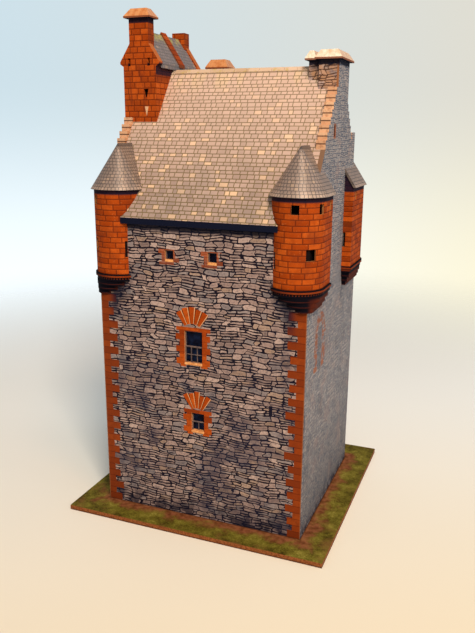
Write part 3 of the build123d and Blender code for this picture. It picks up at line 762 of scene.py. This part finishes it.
def turret_slate_print(corner, side_x, side_y):
    """Slates round a turret's cone, fewer to a course towards its tip."""
    f = Finish(corner + "_turret_slate_print")
    low, high = corners(corner + "_turret_roof")
    bearing, forward, _ = round_place(f, side_x, side_y)
    above = f.z - low.z
    course = (above / CONE_COURSE).floor()
    slope_run = (TURRET_RADIUS + 1.3) / (high.z - low.z)
    radius = (high.z - low.z - (course + 0.5) * CONE_COURSE) * slope_run
    around = (radius * (2 * math.pi / CONE_SLATE)).math("ROUND").most(5.0)
    length = radius * (2 * math.pi) / around
    u = f.choose(forward > 0.0, bearing * around / (2 * math.pi), forward / CONE_SLATE)
    lichen = f.noise(4.0, 2.0).fade(0.55, 0.7) * 0.10
    face_length = f.choose(forward > 0.0, length, CONE_SLATE)
    colour, face, rise = slate_colour(
        f, u, above / CONE_COURSE, face_length, 1.5, lichen, 0.22, 0.12
    )
    colour = f.paint(colour, (0.215, 0.148, 0.110), 0.72)
    foot = 1 - above.fade(1.2, 2.2)
    colour = f.paint(colour, (0.70, 0.50, 0.36), foot * 0.35 * face)
    grime = f.noise(5.0, 3.0).fade(0.42, 0.62)
    colour = f.paint(colour, (0.16, 0.115, 0.090), grime * 0.45)
    colour = f.paint((0.030, 0.022, 0.018), colour, face * 0.86 + 0.14)
    tip = f.z.fade(high.z - 2.4, high.z - 0.8)
    colour = f.paint(colour, (0.05, 0.04, 0.035), tip * 0.7)
    colour = f.paint(colour, SHADOW_BLUE, f.facing_z.fade(-0.1, -0.4))
    rim = (1 - f.facing_z.size().fade(0.15, 0.35)) * 0.8
    colour = f.paint(colour, (0.08, 0.06, 0.05), rim)
    return f.finish_as(colour, face * 0.6 + rise * 0.4, 0.03, 0.42, gloss=1.0)


def coping_print():
    """Crow steps: cream and pinkish orange stones with brown joints."""
    f = Finish("coping_print")
    upright = 1 - f.facing_z.size().fade(0.4, 0.6)
    outward = f.facing_x.size() > 0.5
    step = (f.z - STEP_FOOT) / STEP_HEIGHT
    tone = f.random(step.floor(), f.x.math("SIGN") + 2.0)
    colour = f.ramp(
        tone, (0.0, (0.40, 0.15, 0.065)), (0.5, (0.58, 0.27, 0.13)), (1.0, (0.76, 0.46, 0.27))
    )
    colour = f.paint(colour, (0.80, 0.56, 0.36), f.facing_y.size().fade(0.5, 0.8) * 0.35)
    colour = f.paint(colour, (0.76, 0.45, 0.23), (1 - upright) * 0.7)
    streak = f.noise(1.4, 3.0).fade(0.50, 0.66)
    colour = f.paint(colour, (0.30, 0.11, 0.045), streak * 0.45)
    joint = 1 - step.fraction().least(1 - step.fraction()).fade(0.03, 0.13)
    colour = f.paint(colour, (0.055, 0.022, 0.014), joint * 0.9)
    side_colour, _ = rubble_colour(f, f.y + SIDE_SHIFT, f.z, 1.0, *GABLE_STONE)
    outer = outward * (f.x.size() > EAST - 0.1)
    colour = f.paint(colour, side_colour, outer)
    return f.finish_as(colour, f.noise(0.9, 2.0), 0.03)


def cap_print(name, pale, warm):
    """Chimney cap of folded card, jointed on its slopes and brown at its rim."""
    f = Finish(name)
    grain = f.noise(1.8, 4.0)
    colour = f.ramp(grain, (0.32, warm), (0.60, pale))
    flat = f.facing_z.fade(0.90, 0.98)
    colour = f.paint(colour, (0.50, 0.24, 0.10), flat * 0.5)
    # painted shade: the slopes facing +x are painted browner, with their seams drawn stronger
    side = f.facing_x.fade(0.3, 0.5)
    colour = f.paint(colour, (0.52, 0.30, 0.20), side * 0.55)
    run = f.choose(f.facing_x.size() > f.facing_y.size(), f.y, f.x)
    seam = (run / 2.7).fraction()
    sloping = f.facing_z.between(0.2, 0.9, 0.05)
    lines = (1 - seam.least(1 - seam).fade(0.02, 0.08)) * sloping * (side * 0.6 + 0.15)
    colour = f.paint(colour, (0.20, 0.085, 0.05), lines)
    rim = 1 - f.facing_z.size().fade(0.15, 0.4)
    colour = f.paint(colour, (0.20, 0.055, 0.025), rim * 0.9)
    colour = f.paint(colour, SHADOW_BLUE, f.facing_z.fade(-0.3, -0.7))
    return f.finish_as(colour, grain, 0.03)


def base_print():
    """Printed grass, worn to red earth round the walls, on a brown card edge."""
    f = Finish("grass_print")
    blades = f.noise(0.8, 4.0, None, 0.65)
    clump = f.noise(6.0, 4.0, None, 0.6)
    grass = f.ramp(
        clump * 0.6 + blades * 0.4,
        (0.36, (0.040, 0.028, 0.004)),
        (0.46, (0.100, 0.080, 0.010)),
        (0.56, (0.170, 0.145, 0.020)),
        (0.68, (0.300, 0.250, 0.050)),
    )
    grass = f.paint(grass, (0.20, 0.095, 0.030), f.noise(11.0, 3.0).fade(0.52, 0.70) * 0.6)
    off_x = f.x.size() - EAST
    off_y = (f.y - MIDDLE).size() - (BACK - FRONT) / 2
    off = off_x.most(off_y)
    worn = f.noise(6.0, 3.0)
    earth_edge = 1 - (off + (worn - 0.5) * 14.0).fade(2.0, 8.0)
    earth = f.ramp(f.noise(2.6, 3.0), (0.35, (0.13, 0.034, 0.014)), (0.62, (0.27, 0.090, 0.042)))
    colour = f.paint(grass, earth, earth_edge * 0.85)
    # painted shade along the foot of the walls
    colour = f.paint(colour, (0.035, 0.012, 0.006), (1 - off.fade(0.0, 0.9)) * 0.75)
    rim = 1 - f.facing_z.fade(0.4, 0.6)
    fibre = f.noise(0.7, 3.0)
    edge = f.ramp(fibre, (0.35, (0.16, 0.045, 0.014)), (0.65, (0.34, 0.115, 0.036)))
    colour = f.paint(colour, edge, rim)
    # painted shade: the lowest part of the card edge, next to the floor, is painted darker
    colour = f.paint(colour, (0.05, 0.02, 0.01), rim * (f.z < 0.6) * 0.7)
    return f.finish_as(colour, blades, 0.05)


def pane_print():
    """Blue-black printed panes with a faint cloudy reflection."""
    f = Finish("pane_print")
    cloud = f.noise(3.5, 3.0)
    colour = f.ramp(cloud, (0.40, (0.003, 0.003, 0.010)), (0.70, (0.008, 0.018, 0.055)))
    return f.finish_as(colour, None, 0.0, 0.45)


def sash_print(name, light, dark):
    """Painted sash bars, slightly worn."""
    f = Finish(name)
    worn = f.noise(1.2, 3.0)
    colour = f.ramp(worn, (0.38, dark), (0.62, light))
    return f.finish_as(colour, worn, 0.02)


def ridge_print():
    """Ridge tiles: tan, mossy in patches."""
    f = Finish("ridge_tile_print")
    tone = f.random((f.x / 6.0).floor(), 1.0)
    colour = f.ramp(
        tone, (0.0, (0.52, 0.35, 0.22)), (0.5, (0.62, 0.45, 0.31)), (1.0, (0.72, 0.54, 0.40))
    )
    moss = f.noise(2.6, 3.0)
    colour = f.paint(colour, (0.50, 0.38, 0.10), moss.fade(0.52, 0.66) * 0.6)
    return f.finish_as(colour, moss, 0.04)


# ---- modelling helpers ---------------------------------------------------------------


def deselect():
    """Leave object mode with nothing selected."""
    if bpy.context.object and bpy.context.object.mode != "OBJECT":
        bpy.ops.object.mode_set(mode="OBJECT")
    bpy.ops.object.select_all(action="DESELECT")


def slab(name, low, high):
    """Start a piece as a block between two corners given in millimetres."""
    deselect()
    low, high = Vector(low) * MM, Vector(high) * MM
    bpy.ops.mesh.primitive_cube_add(size=1, location=(low + high) / 2)
    piece = bpy.context.object
    piece.name = name
    piece.scale = high - low
    bpy.ops.object.transform_apply(location=True, rotation=True, scale=True)
    return piece


def pick_faces(piece, test):
    """Enter edit mode with the faces chosen whose centre and normal pass a test."""
    bpy.ops.object.mode_set(mode="EDIT")
    bpy.ops.mesh.select_mode(type="FACE")
    bpy.ops.mesh.select_all(action="DESELECT")
    bpy.ops.object.mode_set(mode="OBJECT")
    for polygon in piece.data.polygons:
        polygon.select = bool(test(polygon.center / MM, polygon.normal))
    bpy.ops.object.mode_set(mode="EDIT")


def apply_modifier(piece, kind, **settings):
    """Add a modifier with its settings and apply it."""
    bpy.context.view_layer.objects.active = piece
    made = piece.modifiers.new(kind.title(), kind)
    for key, value in settings.items():
        setattr(made, key, value)
    bpy.ops.object.modifier_apply(modifier=made.name)


def join_as(name, pieces):
    """Join several parts into one piece."""
    deselect()
    for piece in pieces:
        piece.select_set(True)
    bpy.context.view_layer.objects.active = pieces[0]
    if len(pieces) > 1:
        bpy.ops.object.join()
    pieces[0].name = name
    return pieces[0]


def settle(piece, material):
    """Give a finished piece its finish and its body."""
    deselect()
    piece.data.materials.clear()
    piece.data.materials.append(material)
    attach(piece, "root")
    return piece


# ---- sashes and sills ----------------------------------------------------------------

SASH_DEPTH = 0.7
RAIL = 0.50
BAR = 0.24


def lattice(window, low_share, high_share, columns, rows, face_y):
    """Glazing bars of one sash, cut from a sheet with its panes taken out."""
    middle, sill, width, height = window
    low = sill + height * low_share
    high = sill + height * high_share
    deselect()
    bpy.ops.mesh.primitive_grid_add(
        x_subdivisions=columns,
        y_subdivisions=rows,
        size=1,
        location=(middle * MM, face_y * MM, (low + high) / 2 * MM),
        rotation=(math.pi / 2, 0, 0),
    )
    sheet = bpy.context.object
    sheet.scale = (width * MM, (high - low) * MM, 1)
    bpy.ops.object.transform_apply(location=True, rotation=True, scale=True)
    bpy.ops.object.mode_set(mode="EDIT")
    bpy.ops.mesh.select_all(action="SELECT")
    bpy.ops.mesh.inset(thickness=RAIL / 2 * MM, use_individual=False, use_boundary=True)
    bpy.ops.mesh.inset(thickness=BAR / 2 * MM, use_individual=True)
    bpy.ops.mesh.delete(type="FACE")
    bpy.ops.object.mode_set(mode="OBJECT")
    apply_modifier(sheet, "SOLIDIFY", thickness=SASH_DEPTH * MM, offset=0.0)
    apply_modifier(sheet, "BEVEL", width=0.06 * MM, segments=1, limit_method="ANGLE")
    return sheet


def sill_stone(window, face_y, side_y, lip):
    """Sloping sill card lying in the foot of an opening."""
    middle, sill, width, _ = window
    near = face_y + side_y * lip
    far = face_y - side_y * 1.9
    stone = slab(
        "sill",
        (middle - width / 2 + 0.02, min(near, far), sill),
        (middle + width / 2 - 0.02, max(near, far), sill + 0.85),
    )
    pick_faces(stone, lambda centre, normal: normal.z > 0.9)
    bpy.ops.mesh.inset(thickness=0.12 * MM)
    bpy.ops.transform.translate(value=(0, side_y * -0.1 * MM, 0.10 * MM))
    bpy.ops.object.mode_set(mode="OBJECT")
    apply_modifier(stone, "BEVEL", width=0.12 * MM, segments=2, limit_method="ANGLE")
    return stone


def fit_windows(side_name, face_y, side_y, sash_finish, sill_finish):
    """Sashes and sills of the openings in one long wall."""
    upper_y = face_y - side_y * 1.15
    lower_y = face_y - side_y * 1.45
    sashes = {
        "great": (
            lattice(GREAT, 0.50, 0.99, 1, 1, lower_y),
            lattice(GREAT, 0.04, 0.55, 3, 2, upper_y),
        ),
        "lower": (
            lattice(LOWER, 0.50, 0.99, 1, 1, lower_y),
            lattice(LOWER, 0.06, 0.55, 2, 1, upper_y),
        ),
        "attic": (
            lattice(ATTIC_LEFT, 0.10, 0.98, 1, 1, lower_y),
            lattice(ATTIC_RIGHT, 0.10, 0.98, 1, 1, lower_y),
        ),
    }
    for storey, parts in sashes.items():
        piece = join_as(side_name + "_" + storey + "_sash", list(parts))
        settle(piece, sash_finish)
    sills = [sill_stone(window, face_y, side_y, 0.25) for window in (GREAT, LOWER)]
    sills += [sill_stone(window, face_y, side_y, 0.1) for window in (ATTIC_LEFT, ATTIC_RIGHT)]
    settle(join_as(side_name + "_sills", sills), sill_finish)


# ---- ridge tiles ---------------------------------------------------------------------


def ridge_strip(name, start, end, reach, length, finish):
    """Folded ridge tiles laid end to end along the main ridge."""
    count = max(1, round((end - start) / length))
    step = (end - start) / count
    deselect()
    bpy.ops.mesh.primitive_plane_add(size=1)
    tile = bpy.context.object
    tile.scale = ((step - 0.12) * MM, 2 * reach * MM, 1)
    bpy.ops.object.transform_apply(location=True, rotation=True, scale=True)
    bpy.ops.object.mode_set(mode="EDIT")
    bpy.ops.mesh.select_all(action="SELECT")
    bpy.ops.mesh.bisect(plane_co=(0, 0, 0), plane_no=(0, 1, 0))
    bpy.ops.mesh.select_all(action="DESELECT")
    bpy.ops.object.mode_set(mode="OBJECT")
    for vertex in tile.data.vertices:
        vertex.select = abs(vertex.co.y) < 0.01 * MM
    bpy.ops.object.mode_set(mode="EDIT")
    bpy.ops.mesh.select_mode(type="VERT")
    bpy.ops.transform.translate(value=(0, 0, reach * ROOF_PITCH * MM))
    bpy.ops.object.mode_set(mode="OBJECT")
    apply_modifier(tile, "SOLIDIFY", thickness=0.4 * MM, offset=1.0)
    apply_modifier(tile, "BEVEL", width=0.1 * MM, segments=1, limit_method="ANGLE")
    apply_modifier(
        tile,
        "ARRAY",
        count=count,
        use_relative_offset=False,
        use_constant_offset=True,
        constant_offset_displace=(step * MM, 0, 0),
    )
    tile.location = Vector((start + step / 2, MIDDLE, RIDGE - reach * ROOF_PITCH)) * MM
    deselect()
    tile.select_set(True)
    bpy.context.view_layer.objects.active = tile
    bpy.ops.object.transform_apply(location=True, rotation=True, scale=True)
    tile.name = name
    return settle(tile, finish)


# ---- camera, floor and light ---------------------------------------------------------

# degrees: round the tower, down from level, and about the line of sight
CAMERA_TURN = 21.5225
CAMERA_TILT = 74.9691
CAMERA_ROLL = 0.37416


def place_camera():
    """Camera at the viewing angle, from the right front and a little above."""
    data = bpy.data.cameras.new("view_camera")
    data.lens = 39.084
    data.sensor_width = 36.0
    data.clip_start = 0.01
    data.clip_end = 20.0
    camera = bpy.data.objects.new("view_camera", data)
    bpy.context.scene.collection.objects.link(camera)
    camera.location = (0.118272, -0.298511, 0.172722)
    turn = Euler((0, 0, math.radians(CAMERA_TURN))).to_matrix()
    tilt = Euler((math.radians(CAMERA_TILT), 0, 0)).to_matrix()
    roll = Euler((0, 0, math.radians(CAMERA_ROLL))).to_matrix()
    camera.rotation_euler = (turn @ tilt @ roll).to_euler()
    bpy.context.scene.camera = camera


def lay_floor():
    """Plain pale floor that fades into the backdrop colour far from the model."""
    deselect()
    bpy.ops.mesh.primitive_circle_add(vertices=96, radius=4.0, fill_type="NGON")
    floor = bpy.context.object
    floor.name = "floor"
    f = Finish("pale_floor")
    reach = (f.x * f.x + f.y * f.y).math("SQRT")
    far = (f.x * -0.6 + f.y).fade(-260.0, 140.0)
    colour = f.paint((0.78, 0.68, 0.48), (0.96, 0.99, 0.95), far)
    shader = f.node(
        "ShaderNodeBsdfPrincipled",
        {},
        {
            "Base Color": colour,
            "Roughness": 0.9,
            "Specular IOR Level": 0.0,
            "Alpha": 1 - reach.fade(170.0, 620.0),
        },
    )
    f.node("ShaderNodeOutputMaterial", None, {0: shader})
    floor.data.materials.append(f.material)


def area_light(name, place, aim, size, power, colour):
    """Soft square light pointed at a spot."""
    data = bpy.data.lights.new(name, "AREA")
    data.shape = "SQUARE"
    data.size = size
    data.energy = power
    data.color = colour
    light = bpy.data.objects.new(name, data)
    bpy.context.scene.collection.objects.link(light)
    light.location = place
    light.rotation_euler = (Vector(aim) - Vector(place)).to_track_quat("-Z", "Y").to_euler()


def light_studio():
    """Soft warm light from the front, a sheen from above, cool fill and a pale backdrop."""
    world = bpy.data.worlds.new("pale_backdrop")
    f = Finish("pale_backdrop", world)
    place = f.node("ShaderNodeTexCoord", None, None, "Generated")
    x, _, z = f.parts_of(place)
    sky = f.paint((0.60, 0.76, 0.85), (0.78, 0.72, 0.60), x.fade(-0.85, 0.25))
    ground = f.paint((0.99, 1.08, 1.12), (1.0, 0.93, 0.68), x.fade(-0.62, 0.12))
    sky = f.paint(ground, sky, z.fade(-0.22, 0.08))
    seen = f.node("ShaderNodeLightPath")
    lit = f.paint((0.93, 0.96, 1.0), sky, seen)
    strength = f.choose(seen, 1.0, 0.38)
    glow = f.node("ShaderNodeBackground", None, {"Color": lit, "Strength": strength})
    f.node("ShaderNodeOutputWorld", None, {0: glow})
    bpy.context.scene.world = world
    warm, orange, cool = (1.0, 0.88, 0.74), (1.0, 0.52, 0.24), (0.80, 0.92, 1.0)
    area_light("key_light", (0.33, -0.52, 0.60), (0, 0, 0.14), 0.20, 4.9, warm)
    area_light("sheen_light", (0.27, -0.27, 0.78), (0.02, -0.02, 0.16), 0.20, 1.25, orange)
    area_light("fill_light", (0.75, 0.10, 0.40), (0, 0, 0.10), 0.60, 1.2, cool)
    bpy.context.scene.view_settings.view_transform = "Standard"


# ---- putting it together -------------------------------------------------------------

place_camera()
light_studio()
lay_floor()

# middle, centre height, inner and outer radius, half the spread in degrees, stones
great_arch = (GREAT[0] - 0.4, GREAT[1] + 12.5, 6.0, 13.4, 37.0, 5)
lower_arch = (LOWER[0] - 0.2, LOWER[1] + 7.0, 4.6, 12.4, 35.0, 5)
dressed_windows = (
    (GREAT, 3.8, great_arch),
    (LOWER, 3.6, lower_arch),
)
warm_wall = wall_print("warm_rubble_print", dressed_windows, (ATTIC_LEFT, ATTIC_RIGHT))
cool_wall = gable_print()
stack_rubble = stack_print()
caphouse_stone = caphouse_print()
slope_slates = slope_print()
caphouse_slates = caphouse_slate_print()
coping = coping_print()
cap_card = cap_print("cap_print", (0.86, 0.76, 0.60), (0.68, 0.49, 0.32))
loft_cap = cap_print("caphouse_cap_print", (0.66, 0.30, 0.12), (0.52, 0.17, 0.05))
grass = base_print()
panes = pane_print()
loft_stack_high = corners("caphouse_stack")[1].z
rear_stack_high = corners("caphouse_rear_stack")[1].z
back_stack_high = corners("back_stack")[1].z

finishes = {
    "base_card": grass,
    "front_wall": warm_wall,
    "back_wall": warm_wall,
    "left_gable_wall": cool_wall,
    "right_gable_wall": cool_wall,
    "main_roof_front": slope_slates,
    "main_roof_back": slope_slates,
    "gable_stack": stack_rubble,
    "inner_stack": stack_rubble,
    "gable_cap": cap_card,
    "inner_cap": cap_card,
    "caphouse_cap": loft_cap,
    "back_cap": loft_cap,
    "right_front_steps": coping,
    "right_back_steps": coping,
    "left_front_steps": coping,
    "caphouse_front": caphouse_stone,
    "caphouse_rear": caphouse_stone,
    "caphouse_left_wall": caphouse_stone,
    "caphouse_right_wall": caphouse_stone,
    "mid_skew": skew_print(),
    "caphouse_roof": caphouse_slates,
    "caphouse_stack": stack_ashlar_print("front_stack_print", loft_stack_high),
    "caphouse_rear_stack": stack_ashlar_print("rear_stack_print", rear_stack_high + 9.0),
    "back_stack": stack_ashlar_print("back_stack_print", back_stack_high),
}
for corner, (side_x, side_y) in TURRET_CORNERS.items():
    finishes[corner + "_turret_wall"] = turret_print(corner, side_x, side_y)
    finishes[corner + "_turret_roof"] = turret_slate_print(corner, side_x, side_y)
    finishes[corner + "_turret_corbel"] = corbel_print(corner, side_x, side_y)

for name, node in nodes.items():
    node.data.materials.clear()
    node.data.materials.append(finishes.get(name, panes))

sash_finish = sash_print("sash_print", (0.20, 0.14, 0.12), (0.10, 0.08, 0.09))
sill_finish = sash_print("sill_print", (0.85, 0.42, 0.16), (0.60, 0.24, 0.08))
fit_windows("front", FRONT, -1, sash_finish, sill_finish)
fit_windows("back", BACK, 1, sash_finish, sill_finish)

tiles = ridge_print()
ridge_strip("ridge_tiles", loft_high.x + 0.2, inner_low.x - 0.2, 1.05, 6.0, tiles)
